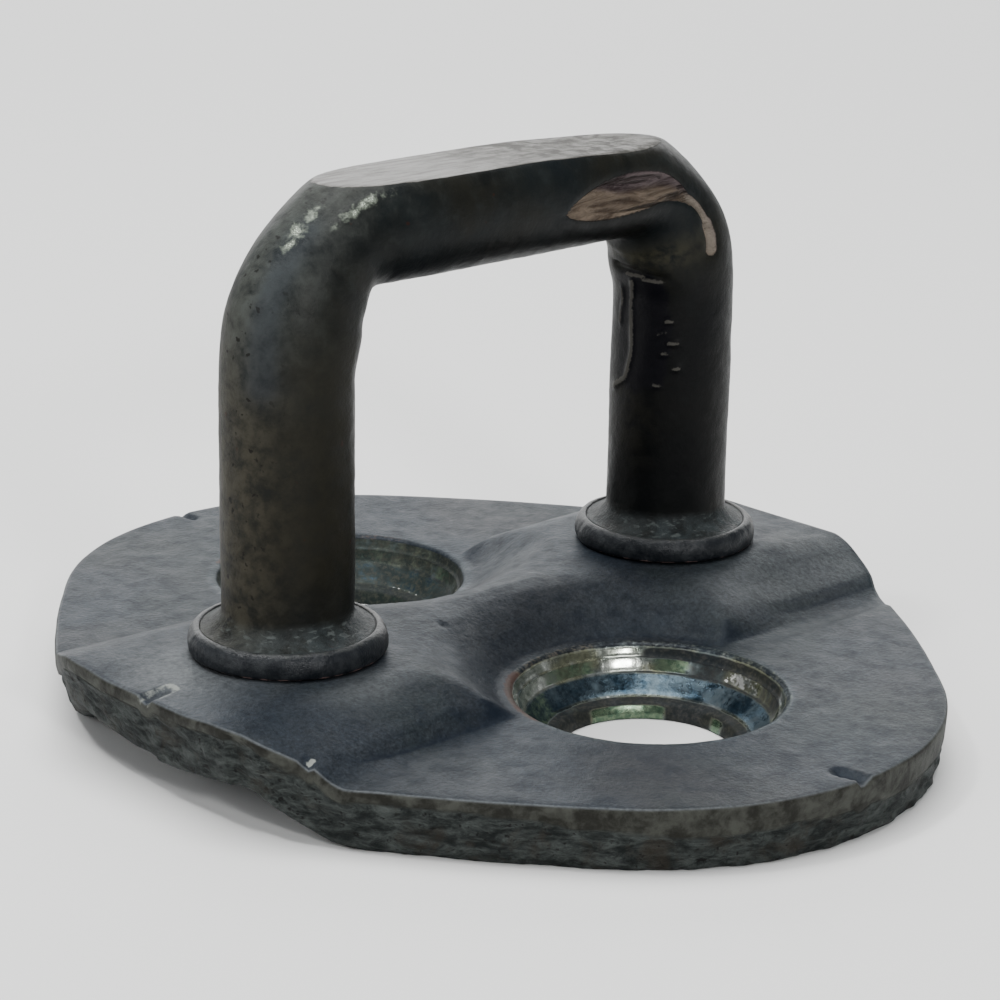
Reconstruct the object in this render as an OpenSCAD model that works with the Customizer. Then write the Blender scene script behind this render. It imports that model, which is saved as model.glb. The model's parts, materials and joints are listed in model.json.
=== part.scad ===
// Fixed striker loop on a bolt-down base plate, in millimetres.
// A round bar, bent to a U with a pressed flat on its bridge, is staked into a thick pressed plate.
// The origin is the centre of the mounting face. X runs along the loop and Y along the line of the
// screw holes. +Z points away from the surface that the plate is screwed to.

/* [Bar] */
// Diameter of the round bar
bar_d = 10; // [9:0.5:11]
// Distance between the centre lines of the two legs
leg_spacing = 41; // [36:1:44]
// Height of the bridge's centre line above the raised band
bridge_height = 31.7; // [24:0.1:40]
// Radius of each bend, measured to the bar's centre line
bend_radius = 7.5; // [7:0.5:10]
// Height of the pressed flat above the bridge's centre line
flat_height = 3.2; // [2.5:0.1:4]

/* [Plate] */
// Thickness of the plate's lobes
plate_t = 5; // [4.2:0.1:5.5]
// Height of the centre band's top above the lobes' top
band_rise = 3.5; // [3:0.1:4]
// Depth of the channel under the band, which clears the staked heads
channel_depth = 3.4; // [2.9:0.1:3.8]
// Width of the plate along the loop
plate_width = 68; // [66:1:74]
// Length of the plate along the line of the screw holes
plate_length = 80; // [78:1:86]
// Radius of the round end of each lobe
lobe_radius = 24.3; // [22.5:0.1:25]
// Radius of the four corners between the band's ends and the lobes
corner_radius = 11; // [6:1:12]
// Half width of the band's flat top
band_half_top = 9.5; // [8:0.5:10]
// Half width of the band at the foot of its slopes
band_half_foot = 17; // [16:0.5:18]
// Half width of the channel under the band, at the foot of its slopes
channel_half_foot = 18.5; // [17:0.5:19]

/* [Screw holes] */
// Distance between the two screw holes
hole_spacing = 36; // [34:1:38]
// Diameter of the straight part of each hole
hole_d = 13.6; // [12:0.1:15]
// Diameter of the mouth of each countersink
sink_d = 20.8; // [19:0.1:22]
// Depth of the steep wall below the mouth
sink_wall_depth = 2; // [1.5:0.1:2.5]
// Depth at which the cone meets the straight part
sink_depth = 3.5; // [3.3:0.1:3.9]

/* [Collars and staked ends] */
// Outer diameter of the collar ring at the foot of each leg
collar_d = 15.1; // [14:0.1:17]
// Height of the collar ring
collar_height = 1.9; // [1.6:0.1:2.4]
// Diameter of the leg's shoulder inside the collar ring
shoulder_d = 13.2; // [12:0.1:13.6]
// Diameter of the tenon that passes through the plate
tenon_d = 8; // [6:0.5:8.5]
// Diameter of the staked head under the band
head_d = 12; // [10:0.5:13]
// Thickness of the staked head
head_t = 2.3; // [1.8:0.1:2.7]

/* [Hidden] */
$fn = 96;

bar_r = bar_d / 2;
leg_x = leg_spacing / 2;
band_top = plate_t + band_rise;
bridge_z = band_top + bridge_height;
bend_z = bridge_z - bend_radius;
loop_top = bridge_z + flat_height;
hole_y = hole_spacing / 2;

// The scallop that the lobe's flat cuts into the band round each screw hole
scallop_foot_r = 11.4;
scallop_top_r = 16.5;

// The steep wall narrows from the countersink's mouth by this much on the radius
sink_wall_taper = 0.9;

// Height of the collar's seam with the shoulder, and the top of the shoulder's fillet
seam_height = 1.7;
fillet_height = 2.95;
// Heights of the collar's undercut edge and of its widest band
collar_edge = 0.25;
collar_band = 1.05;

// Stamped centre marks on one end of the band and on the ends of both lobes
mark_width = 1.1;
mark_length = 2.8;
mark_depth = 0.6;

head_bevel = 0.9;
slope_steps = 8;
arc_steps = 6;
clear = 5;
eps = 0.01;

plate_color = "slategray";
bar_color = "darkslategray";
ring_color = "dimgray";

// A smooth step from 0 to 1, used for the band's slopes and the scallops
function smooth(t) = (1 - cos(180 * t)) / 2;

// Points down a slope: [distance, height] from (inner, top) to (outer, bottom)
function slope(inner, outer, top, bottom) = [
    for (i = [0:slope_steps])
        let (t = i / slope_steps)
            [inner + (outer - inner) * t, top + (bottom - top) * smooth(t)]
];

// Points of an arc from angle a0 to angle a1
function arc(cx, cy, r, a0, a1) = [
    for (i = [0:arc_steps])
        let (a = a0 + (a1 - a0) * i / arc_steps)
            [cx + r * cos(a), cy + r * sin(a)]
];

function reversed(list) = [for (i = [len(list) - 1:-1:0]) list[i]];
function mirrored_x(list) = [for (p = list) [-p[0], p[1]]];
function mirrored_y(list) = [for (p = list) [p[0], -p[1]]];

// A quarter of the outline is three arcs that meet in line: the corner, a long shallow flank and the
// lobe's round end. Each angle is where one arc hands over to the next.
flank_from = 31;
flank_to = 43;
lobe_y = plate_length / 2 - lobe_radius;
corner_x = plate_width / 2 - corner_radius;
flank_radius = (lobe_radius * cos(flank_to) - corner_radius * cos(flank_from) - corner_x)
    / (cos(flank_to) - cos(flank_from));
flank_x = (lobe_radius - flank_radius) * cos(flank_to);
flank_y = lobe_y + (lobe_radius - flank_radius) * sin(flank_to);
corner_y = flank_y + (flank_radius - corner_radius) * sin(flank_from);

// One quarter of the plate's outline, from the band's end round to the lobe's end
quarter = concat(
    arc(corner_x, corner_y, corner_radius, 0, flank_from),
    arc(flank_x, flank_y, flank_radius, flank_from, flank_to),
    arc(0, lobe_y, lobe_radius, flank_to, 90)
);

module outline() {
    polygon(concat(
        quarter,
        reversed(mirrored_x(quarter)),
        mirrored_x(mirrored_y(quarter)),
        reversed(mirrored_y(quarter))
    ));
}

// A band's section across its length, with its flat top and its feet at the given heights
module band_section(half_foot, height, base) {
    side = slope(band_half_top, half_foot, height, base);
    far = plate_length;
    polygon(concat(
        [[far, base], [far, -clear], [-far, -clear], [-far, base]],
        reversed(mirrored_x(side)),
        side
    ));
}

// A bar of that section, laid along X
module band_bar(half_foot, height, base) {
    rotate([90, 0, 90])
        linear_extrude(plate_width + 2 * clear, center = true)
            band_section(half_foot, height, base);
}

// The space above a surface that rises by the given height round a screw hole
module scallop_space(base, rise) {
    wall = slope(scallop_foot_r, scallop_top_r, base, base + rise);
    top = base + rise + clear;
    rotate_extrude()
        polygon(concat(
            [[0, base]],
            wall,
            [[scallop_top_r, top], [0, top]]
        ));
}

module screw_hole() {
    hole_r = hole_d / 2;
    sink_r = sink_d / 2;
    rotate_extrude()
        polygon([
            [0, -clear],
            [hole_r, -clear],
            [hole_r, plate_t - sink_depth],
            [sink_r - sink_wall_taper, plate_t - sink_wall_depth],
            [sink_r, plate_t],
            [sink_r, plate_t + clear],
            [0, plate_t + clear]
        ]);
}

// Places its children at each screw hole
module at_holes() {
    for (side = [-1, 1])
        translate([0, side * hole_y, 0])
            children();
}

// The channel under the band, which leaves room for the staked heads
module channel() {
    difference() {
        band_bar(channel_half_foot, channel_depth, 0);
        at_holes()
            scallop_space(0, channel_depth);
    }
}

module centre_marks() {
    translate([-plate_width / 2 - eps, -mark_width / 2, band_top - mark_depth])
        cube([mark_length, mark_width, clear]);
    for (turn = [0, 180])
        rotate([0, 0, turn])
            translate([-mark_width / 2, -plate_length / 2 - eps, plate_t - mark_depth])
                cube([mark_width, mark_length, clear]);
}

// Pressed plate: two flat lobes, a raised band between them and two countersunk holes
module base_plate() {
    color(plate_color)
        difference() {
            intersection() {
                linear_extrude(band_top + clear)
                    outline();
                band_bar(band_half_foot, band_top, plate_t);
            }
            at_holes()
                scallop_space(plate_t, band_rise);
            channel();
            at_holes()
                screw_hole();
            for (side = [-1, 1])
                translate([side * leg_x, 0, 0])
                    cylinder(h = band_top + clear, d = tenon_d);
            centre_marks();
        }
}

// One leg with its shoulder, its tenon through the plate and its staked head
module leg() {
    head_r = head_d / 2;
    tenon_r = tenon_d / 2;
    shoulder_r = shoulder_d / 2;
    fillet = [
        for (i = [0:arc_steps])
            let (a = 90 * i / arc_steps)
                [
                    shoulder_r - (shoulder_r - bar_r) * sin(a),
                    band_top + fillet_height - (fillet_height - seam_height) * cos(a)
                ]
    ];
    rotate_extrude()
        polygon(concat(
            [
                [0, channel_depth - head_t],
                [head_r - head_bevel, channel_depth - head_t],
                [head_r, channel_depth - head_t + head_bevel],
                [head_r, channel_depth],
                [tenon_r, channel_depth],
                [tenon_r, band_top],
                [shoulder_r, band_top]
            ],
            fillet,
            [[bar_r, bend_z], [0, bend_z]]
        ));
}

// A quarter bend from a leg at the origin towards -X
module bend() {
    translate([-bend_radius, 0, bend_z])
        rotate([90, 0, 0])
            rotate_extrude(angle = 90)
                translate([bend_radius, 0])
                    circle(r = bar_r);
}

// Round bar bent to a U, with a flat pressed along the top of its bridge
module striker_loop() {
    bridge_length = leg_spacing - 2 * bend_radius;
    color(bar_color)
        difference() {
            union() {
                for (side = [0, 1])
                    mirror([side, 0, 0])
                        translate([leg_x, 0, 0]) {
                            leg();
                            bend();
                        }
                translate([-bridge_length / 2, 0, bridge_z])
                    rotate([0, 90, 0])
                        cylinder(h = bridge_length, r = bar_r);
            }
            translate([-leg_x - clear, -bar_r - clear, loop_top])
                cube([leg_spacing + 2 * clear, bar_d + 2 * clear, bar_d]);
        }
}

// Pressed ring with a rounded bead, seated round the leg's shoulder
module collar_ring(side) {
    collar_r = collar_d / 2;
    bead = collar_height - collar_band;
    shoulder_r = shoulder_d / 2;
    color(ring_color)
        translate([side * leg_x, 0, band_top])
            rotate_extrude()
                polygon(concat(
                    [
                        [shoulder_r, 0],
                        [collar_r - collar_edge, 0],
                        [collar_r, collar_edge]
                    ],
                    arc(collar_r - bead, collar_band, bead, 0, 90),
                    [[shoulder_r, seam_height]]
                ));
}

base_plate();
striker_loop();
collar_ring(-1);  // collar_ring_left
collar_ring(1);  // collar_ring_right
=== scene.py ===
"""Looks of a striker loop staked into a pressed base plate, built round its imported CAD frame."""
import json
import math

import bpy
import numpy as np
from mathutils import Matrix, Vector, geometry, noise


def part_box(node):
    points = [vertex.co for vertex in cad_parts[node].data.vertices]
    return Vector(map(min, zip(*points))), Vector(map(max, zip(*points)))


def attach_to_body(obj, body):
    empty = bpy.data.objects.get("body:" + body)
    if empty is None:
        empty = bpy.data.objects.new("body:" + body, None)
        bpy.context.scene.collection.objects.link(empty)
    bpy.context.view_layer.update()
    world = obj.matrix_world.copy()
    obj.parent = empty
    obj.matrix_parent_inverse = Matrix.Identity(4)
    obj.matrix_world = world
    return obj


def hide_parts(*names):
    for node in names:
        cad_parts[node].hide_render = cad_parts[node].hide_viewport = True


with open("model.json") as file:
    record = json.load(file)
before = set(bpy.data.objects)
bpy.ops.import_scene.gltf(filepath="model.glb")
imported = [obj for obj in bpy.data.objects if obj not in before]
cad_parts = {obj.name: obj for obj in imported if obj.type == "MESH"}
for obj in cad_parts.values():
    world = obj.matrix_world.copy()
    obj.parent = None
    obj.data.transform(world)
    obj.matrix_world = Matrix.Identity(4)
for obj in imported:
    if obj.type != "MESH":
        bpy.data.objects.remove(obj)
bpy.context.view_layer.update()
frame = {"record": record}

MM = 0.001

# Sizes in millimetres, read from the frame
PLATE_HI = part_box("base_plate")[1] / MM
LOOP_LO, LOOP_HI = [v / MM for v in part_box("striker_loop")]
RING_LO, RING_HI = [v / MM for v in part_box("collar_ring_right")]
HALF_WIDTH = PLATE_HI.x
HALF_LENGTH = PLATE_HI.y
BAND_TOP = PLATE_HI.z
LOOP_TOP = LOOP_HI.z
HEAD_BOTTOM = LOOP_LO.z
LEG_X = (RING_LO.x + RING_HI.x) / 2
RING_R = (RING_HI.x - RING_LO.x) / 2
RING_HEIGHT = RING_HI.z - RING_LO.z
SHOULDER_R = LOOP_HI.y
SCREWS = next(m for m in frame["record"]["mounts"] if m["name"] == "screw_holes")
HOLE_Y = SCREWS["dims"]["spacing_y_mm"] / 2
HOLE_R = SCREWS["dims"]["hole_r_mm"]

# Sizes in millimetres that the frame's boxes don't state
BAR_R = 5.0
PLATE_T = 5.0
BAND_RISE = BAND_TOP - PLATE_T
CHANNEL_DEPTH = 3.4
SINK_R = 10.4
SINK_WALL_DEPTH = 2.0
SINK_WALL_TAPER = 0.9
SINK_DEPTH = 3.5
TENON_R = 4.0
HEAD_R = 6.0
BEND_R = 7.5
FLAT_HEIGHT = 3.2
SEAM_HEIGHT = 1.8
FILLET_HEIGHT = 2.95
BRIDGE_Z = LOOP_TOP - FLAT_HEIGHT
BEND_Z = BRIDGE_Z - BEND_R


def smoothstep(low, high, x):
    t = np.clip((x - low) / (high - low), 0.0, 1.0)
    return t * t * (3.0 - 2.0 * t)


def fractal(points, scale, seed, octaves=4):
    """Seeded fractal noise at points in millimetres, from about -1 to 1. Scale is features per mm."""
    offset = Vector((seed * 7.31, seed * 3.17, seed * 5.71))
    return np.array([
        noise.fractal(Vector(p) * scale + offset, 1.0, 2.0, octaves) for p in points
    ])


def make_piece(name, points, faces, material, fields):
    """A smooth-shaded mesh object from points in millimetres, with one float attribute per field."""
    mesh = bpy.data.meshes.new(name)
    mesh.from_pydata((np.asarray(points) * MM).tolist(), [], faces)
    mesh.validate()
    mesh.polygons.foreach_set("use_smooth", [True] * len(mesh.polygons))
    for field, values in fields.items():
        layer = mesh.attributes.new(field, "FLOAT", "POINT")
        layer.data.foreach_set("value", np.asarray(values, dtype=np.float32))
    mesh.materials.append(material)
    mesh.update()
    piece = bpy.data.objects.new(name, mesh)
    bpy.context.scene.collection.objects.link(piece)
    return piece


def ring_faces(first, second, count):
    """Four-sided faces between two rings of points that start at the given numbers."""
    faces = []
    for i in range(count):
        j = (i + 1) % count
        faces.append((first + i, first + j, second + j, second + i))
    return faces


# ---------------------------------------------------------------- material tools

class Shader:
    """A small helper that builds one procedural material."""

    def __init__(self, name):
        self.material = bpy.data.materials.new(name)
        self.material.use_nodes = True
        self.nodes = self.material.node_tree.nodes
        self.links = self.material.node_tree.links
        self.bsdf = self.nodes["Principled BSDF"]
        self.place = self.nodes.new("ShaderNodeTexCoord").outputs["Object"]

    def put(self, value, socket):
        if isinstance(value, bpy.types.NodeSocket):
            self.links.new(value, socket)
        elif isinstance(value, (tuple, list)) and len(value) == 3 and socket.type == "RGBA":
            socket.default_value = (*value, 1.0)
        else:
            socket.default_value = value

    def math(self, operation, a, b=0.0, c=0.0):
        node = self.nodes.new("ShaderNodeMath")
        node.operation = operation
        for value, socket in zip((a, b, c), node.inputs):
            self.put(value, socket)
        return node.outputs[0]

    def times(self, a, b):
        return self.math("MULTIPLY", a, b)

    def loose(self, noise_value, gain):
        """A noise from 0 to 1, centred on 0 and scaled, which makes a patch's border wander."""
        return self.times(self.math("SUBTRACT", noise_value, 0.5), gain)

    def patch(self, name, wander, low, high):
        """A field with a wandering border: 0 below low and 1 above high."""
        return self.step(self.math("ADD", self.field(name), wander), low, high)

    def shades(self, value, low, high, start, end):
        """One color below low, the other above high."""
        return self.blend(self.step(value, low, high), start, end)

    def relief(self, mottle, grain, share):
        """A height made of two noises. Share is the coarse one's part."""
        return self.math("ADD", self.times(mottle, share), self.times(grain, round(1.0 - share, 3)))

    def clamp(self, value):
        node = self.nodes.new("ShaderNodeClamp")
        self.put(value, node.inputs[0])
        return node.outputs[0]

    def field(self, name):
        node = self.nodes.new("ShaderNodeAttribute")
        node.attribute_name = name
        return node.outputs["Fac"]

    def stretched(self, scale):
        node = self.nodes.new("ShaderNodeMapping")
        self.links.new(self.place, node.inputs["Vector"])
        node.inputs["Scale"].default_value = scale
        return node.outputs[0]

    def noise(self, per_mm, detail, rough, distortion=0.0, stretch=(1.0, 1.0, 1.0), seed=0.0):
        """Noise from 0 to 1 with the given number of features per millimetre."""
        node = self.nodes.new("ShaderNodeTexNoise")
        node.noise_dimensions = "4D"
        self.links.new(self.stretched(stretch), node.inputs["Vector"])
        names = ("W", "Scale", "Detail", "Roughness", "Distortion")
        for name, number in zip(names, (seed, per_mm / MM, detail, rough, distortion)):
            node.inputs[name].default_value = number
        return node.outputs["Fac"]

    def ramp(self, value, low, high, start, end, kind="LINEAR"):
        """Maps value from low..high to start..end, clamped."""
        node = self.nodes.new("ShaderNodeMapRange")
        node.interpolation_type = kind
        self.put(value, node.inputs["Value"])
        names = ("From Min", "From Max", "To Min", "To Max")
        for name, number in zip(names, (low, high, start, end)):
            self.put(number, node.inputs[name])
        return node.outputs["Result"]

    def step(self, value, low, high):
        """0 below low, 1 above high, smooth between. Low above high turns it round."""
        if low > high:
            return self.ramp(value, high, low, 1.0, 0.0, "SMOOTHSTEP")
        return self.ramp(value, low, high, 0.0, 1.0, "SMOOTHSTEP")

    def blend(self, amount, a, b, mode="MIX", kind="RGBA"):
        """Color a where amount is 0, color b where it is 1."""
        node = self.nodes.new("ShaderNodeMix")
        node.data_type = kind
        node.blend_type = mode
        for name, value in zip(("Factor", "A", "B"), (amount, a, b)):
            self.put(value, node.inputs[name])
        return node.outputs["Result"]

    def mix(self, amount, a, b):
        """a where amount is 0, b where it is 1, for plain numbers."""
        return self.blend(amount, a, b, kind="FLOAT")

    def bump(self, height, depth_mm, under=None):
        node = self.nodes.new("ShaderNodeBump")
        node.inputs["Strength"].default_value = 1.0
        node.inputs["Distance"].default_value = depth_mm * MM
        self.put(height, node.inputs["Height"])
        if under is not None:
            self.links.new(under, node.inputs["Normal"])
        return node.outputs["Normal"]

    def finish(self, color, roughness, metallic, normal, specular):
        """Joins the values to the surface and returns the material."""
        names = ("Base Color", "Roughness", "Metallic", "Normal", "Specular IOR Level")
        for name, value in zip(names, (color, roughness, metallic, normal, specular)):
            self.put(value, self.bsdf.inputs[name])
        return self.material


# ---------------------------------------------------------------- materials

def face_color(s, mottle, grain):
    """The plate's flat faces: blue-grey, cloudy and finely mottled, with brushed streaks and specks."""
    cloud = s.noise(0.09, 5.0, 0.6, 0.4)
    tan = s.step(s.noise(0.06, 3.0, 0.5, seed=11.0), 0.48, 0.64)
    green = s.step(s.noise(0.07, 3.0, 0.5, seed=12.0), 0.5, 0.66)
    brushed = s.noise(0.9, 5.0, 0.7, stretch=(0.0882, 0.4998, 0.294), seed=8.0)
    fine = s.noise(5.0, 3.0, 0.6, seed=14.0)
    speck = s.noise(2.3, 4.0, 0.7, 0.3, seed=13.0)
    color = s.shades(cloud, 0.36, 0.62, (0.0095, 0.0135, 0.0195), (0.016, 0.0185, 0.0225))
    color = s.blend(s.times(tan, 0.6), color, (0.0165, 0.0155, 0.0165))
    color = s.blend(s.times(green, 0.5), color, (0.0115, 0.0155, 0.0155))
    color = s.blend(s.times(s.step(mottle, 0.46, 0.68), 0.7), color, (0.0052, 0.0076, 0.0118))
    color = s.blend(s.times(s.step(brushed, 0.52, 0.72), 0.45), color, (0.034, 0.038, 0.043))
    color = s.blend(1.0, color, s.ramp(grain, 0.32, 0.68, 0.62, 1.45), "MULTIPLY")
    color = s.blend(1.0, color, s.ramp(fine, 0.35, 0.65, 0.72, 1.28), "MULTIPLY")
    return s.blend(s.times(s.step(speck, 0.62, 0.74), 0.5), color, (0.05, 0.056, 0.062))


def sheared_color(s, mottle, tear):
    """The plate's edge: a smooth grey-brown band above, torn dark metal with pale streaks below."""
    streak = s.noise(0.9, 6.0, 0.75, 0.6, stretch=(0.55, 0.55, 1.35), seed=17.0)
    rusty = s.step(s.noise(0.35, 4.0, 0.6, 0.6, seed=18.0), 0.5, 0.68)
    pits = s.step(s.noise(1.7, 3.0, 0.6, 0.3, seed=19.0), 0.4, 0.33)
    upper = s.shades(mottle, 0.38, 0.64, (0.012, 0.0112, 0.0085), (0.046, 0.047, 0.04))
    lower = s.shades(streak, 0.38, 0.7, (0.009, 0.0105, 0.01), (0.06, 0.067, 0.063))
    lower = s.blend(s.times(rusty, 0.6), lower, (0.026, 0.02, 0.014))
    lower = s.blend(s.times(pits, 0.85), lower, (0.005, 0.004, 0.0035))
    return s.blend(tear, upper, lower), streak


def sink_color(s, mottle, grain):
    """The countersinks: burnished walls, a blue-grey cone, green and black stains, silvery flakes, a
    painted glint on the near wall, and painted shade on the ledge, in the bore, along the facet seam and
    through the far hole.
    """
    tint = s.noise(0.3, 3.0, 0.5, 0.6, seed=23.0)
    chips = s.noise(1.6, 3.0, 0.6, 0.8, seed=24.0)
    wander = s.math("ADD", s.loose(mottle, 1.3), s.loose(grain, 0.9))
    silver = s.shades(mottle, 0.38, 0.62, (0.22, 0.24, 0.2), (0.6, 0.62, 0.56))
    cone = s.shades(mottle, 0.34, 0.66, (0.018, 0.034, 0.05), (0.07, 0.095, 0.11))
    green = s.shades(grain, 0.4, 0.6, (0.07, 0.115, 0.075), (0.15, 0.2, 0.13))
    black = s.shades(grain, 0.45, 0.65, (0.0035, 0.0045, 0.006), (0.02, 0.018, 0.016))
    color = s.shades(tint, 0.4, 0.62, (0.1, 0.12, 0.12), (0.17, 0.175, 0.12))
    color = s.blend(s.step(mottle, 0.46, 0.7), color, (0.24, 0.25, 0.24))
    # painted highlight: bright silver at the near wall's glint; on the wall's left it is real silvery metal
    color = s.blend(s.step(s.field("silver"), 0.1, 0.9), color, silver)
    color = s.blend(s.field("cone"), color, cone)
    color = s.blend(1.0, color, s.ramp(grain, 0.34, 0.66, 0.6, 1.35), "MULTIPLY")
    color = s.blend(s.patch("green", wander, 0.35, 0.85), color, green)
    # real dark stains, and painted shade on the ledge, in the bore, along the facet seam and through the
    # far hole
    stain = s.patch("stain", wander, 0.25, 0.85)
    color = s.blend(s.times(stain, 0.93), color, black)
    color = s.blend(s.patch("flake", s.loose(chips, 4.0), 0.95, 1.25), color, (0.6, 0.6, 0.57))
    return color, stain


def plate_material():
    """Weathered zinc over pressed steel, with a sheared edge and burnished countersinks, painted shade on
    slopes, creases and in the holes, and painted highlights on the top edge and the near countersink's
    wall.
    """
    s = Shader("plate_steel")
    wall = s.field("wall")
    tear = s.field("tear")
    sink = s.field("sink")
    silver = s.field("silver")
    mottle = s.noise(0.55, 6.0, 0.65, 0.3, seed=2.0)
    grain = s.noise(2.6, 4.0, 0.7, seed=5.0)

    color = face_color(s, mottle, grain)
    # painted shade: dark blue on the band's steep slopes and along its creases
    painted_slope_shade = s.patch("slope", s.loose(mottle, 0.8), 0.15, 0.95)
    color = s.blend(s.times(painted_slope_shade, 0.9), color, (0.003, 0.0055, 0.011))
    # real pale scuffs on the top face, and a painted highlight along the plate's top edge
    scuff = s.times(s.field("scuff"), s.ramp(grain, 0.3, 0.65, 0.35, 1.0))
    color = s.blend(scuff, color, (0.12, 0.127, 0.13))
    edge, streak = sheared_color(s, mottle, tear)
    color = s.blend(wall, color, edge)
    inner, stain = sink_color(s, mottle, grain)
    color = s.blend(s.patch("sink", s.loose(grain, 0.5), 0.3, 0.6), color, inner)
    rust = s.patch("rust", s.loose(grain, 1.3), 0.45, 0.8)
    rust_color = s.shades(mottle, 0.4, 0.6, (0.07, 0.032, 0.02), (0.07, 0.052, 0.04))
    color = s.blend(s.times(rust, 0.6), color, rust_color)
    color = s.blend(s.patch("chip", s.loose(grain, 0.8), 0.45, 0.75), color, (0.17, 0.18, 0.165))

    dull = s.math("MAXIMUM", rust, s.times(stain, sink))
    rough = s.mix(wall, s.ramp(mottle, 0.3, 0.7, 0.4, 0.56), 0.6)
    rough = s.mix(sink, rough, s.ramp(mottle, 0.35, 0.65, 0.17, 0.36))
    rough = s.mix(silver, rough, s.ramp(grain, 0.35, 0.65, 0.17, 0.26))
    rough = s.mix(dull, rough, 0.55)
    metal = s.mix(dull, s.mix(sink, 0.08, 0.9), 0.0)

    burnish = s.math("MAXIMUM", s.times(sink, 0.6), s.times(silver, 0.92))
    relief = s.times(s.relief(mottle, grain, 0.6), s.math("SUBTRACT", 1.0, burnish))
    torn = s.times(s.times(streak, tear), wall)
    normal = s.bump(torn, 0.45, s.bump(relief, 0.15))
    s.put((0.85, 0.95, 1.0), s.bsdf.inputs["Specular Tint"])
    return s.finish(color, rough, metal, normal, 0.12)


def oxide_color(s, mottle, weather):
    """The bar's dark oxide: green-black with blue and olive tints, paler and pitted where it weathers, with
    a painted sheen and a blue reflected streak on the left bend and painted shade on the right leg and
    under the bridge.
    """
    cloud = s.noise(0.16, 4.0, 0.6, 0.4, seed=1.0)
    blue = s.step(s.noise(0.11, 3.0, 0.5, seed=12.0), 0.46, 0.62)
    pits = s.step(s.noise(1.5, 2.0, 0.5, seed=14.0), 0.37, 0.31)
    rust = s.step(s.noise(0.9, 2.0, 0.5, seed=15.0), 0.7, 0.75)
    brown = s.times(s.field("brown"), s.ramp(mottle, 0.3, 0.7, 0.35, 0.9))
    olive = s.times(s.field("olive"), s.step(mottle, 0.36, 0.6))
    pale = s.times(s.field("pale"), s.ramp(mottle, 0.34, 0.64, 0.2, 1.0))
    sheen = s.times(s.field("sheen"), s.ramp(mottle, 0.3, 0.7, 0.4, 0.8))
    color = s.shades(cloud, 0.38, 0.62, (0.0035, 0.0045, 0.0045), (0.0085, 0.0085, 0.0065))
    color = s.blend(s.step(mottle, 0.5, 0.72), color, (0.011, 0.013, 0.012))
    color = s.blend(s.times(blue, 0.35), color, (0.006, 0.0105, 0.0135))
    color = s.blend(brown, color, (0.0098, 0.0085, 0.0042))
    color = s.blend(olive, color, (0.035, 0.033, 0.021))
    color = s.blend(s.times(weather, s.step(mottle, 0.34, 0.66)), color, (0.034, 0.0305, 0.021))
    # painted sheen: the outside of the left bend painted lighter grey-green
    color = s.blend(pale, color, (0.052, 0.058, 0.054))
    # painted reflection: a blue sheen streak down the left leg into the bend
    color = s.blend(sheen, color, (0.02, 0.0255, 0.034))
    color = s.blend(s.times(pits, weather), color, (0.004, 0.003, 0.0025))
    color = s.blend(s.times(rust, 0.6), color, (0.025, 0.0075, 0.004))
    # painted shade on the right leg and under the bridge
    return s.blend(s.times(s.field("shade"), 0.8), color, (0.0012, 0.0014, 0.0017))


def flat_color(s, mottle, grain, lengthwise):
    """The pressed flat: bare warm grey, painted light as well for the sky's reflection, with dark streaks
    and pits that run lengthwise.
    """
    color = s.shades(lengthwise, 0.34, 0.6, (0.08, 0.075, 0.068), (0.2, 0.197, 0.187))
    color = s.blend(s.step(grain, 0.58, 0.72), color, (0.045, 0.04, 0.037))
    worn = s.times(s.field("worn"), s.step(mottle, 0.4, 0.62))
    return s.blend(worn, color, (0.05, 0.048, 0.043))


def bare_color(s, fibre, score):
    """Metal rubbed through the oxide: pinkish above, tan below, scored, and bright where it is fresh."""
    upper = s.field("upper")
    pale = s.blend(upper, (0.155, 0.12, 0.089), (0.098, 0.076, 0.077))
    deep = s.blend(upper, (0.036, 0.024, 0.016), (0.022, 0.014, 0.015))
    color = s.shades(fibre, 0.34, 0.66, deep, pale)
    color = s.blend(s.times(score, 0.85), color, (0.012, 0.009, 0.008))
    return s.blend(s.times(s.field("fresh"), 0.75), color, (0.21, 0.182, 0.15))


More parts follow.
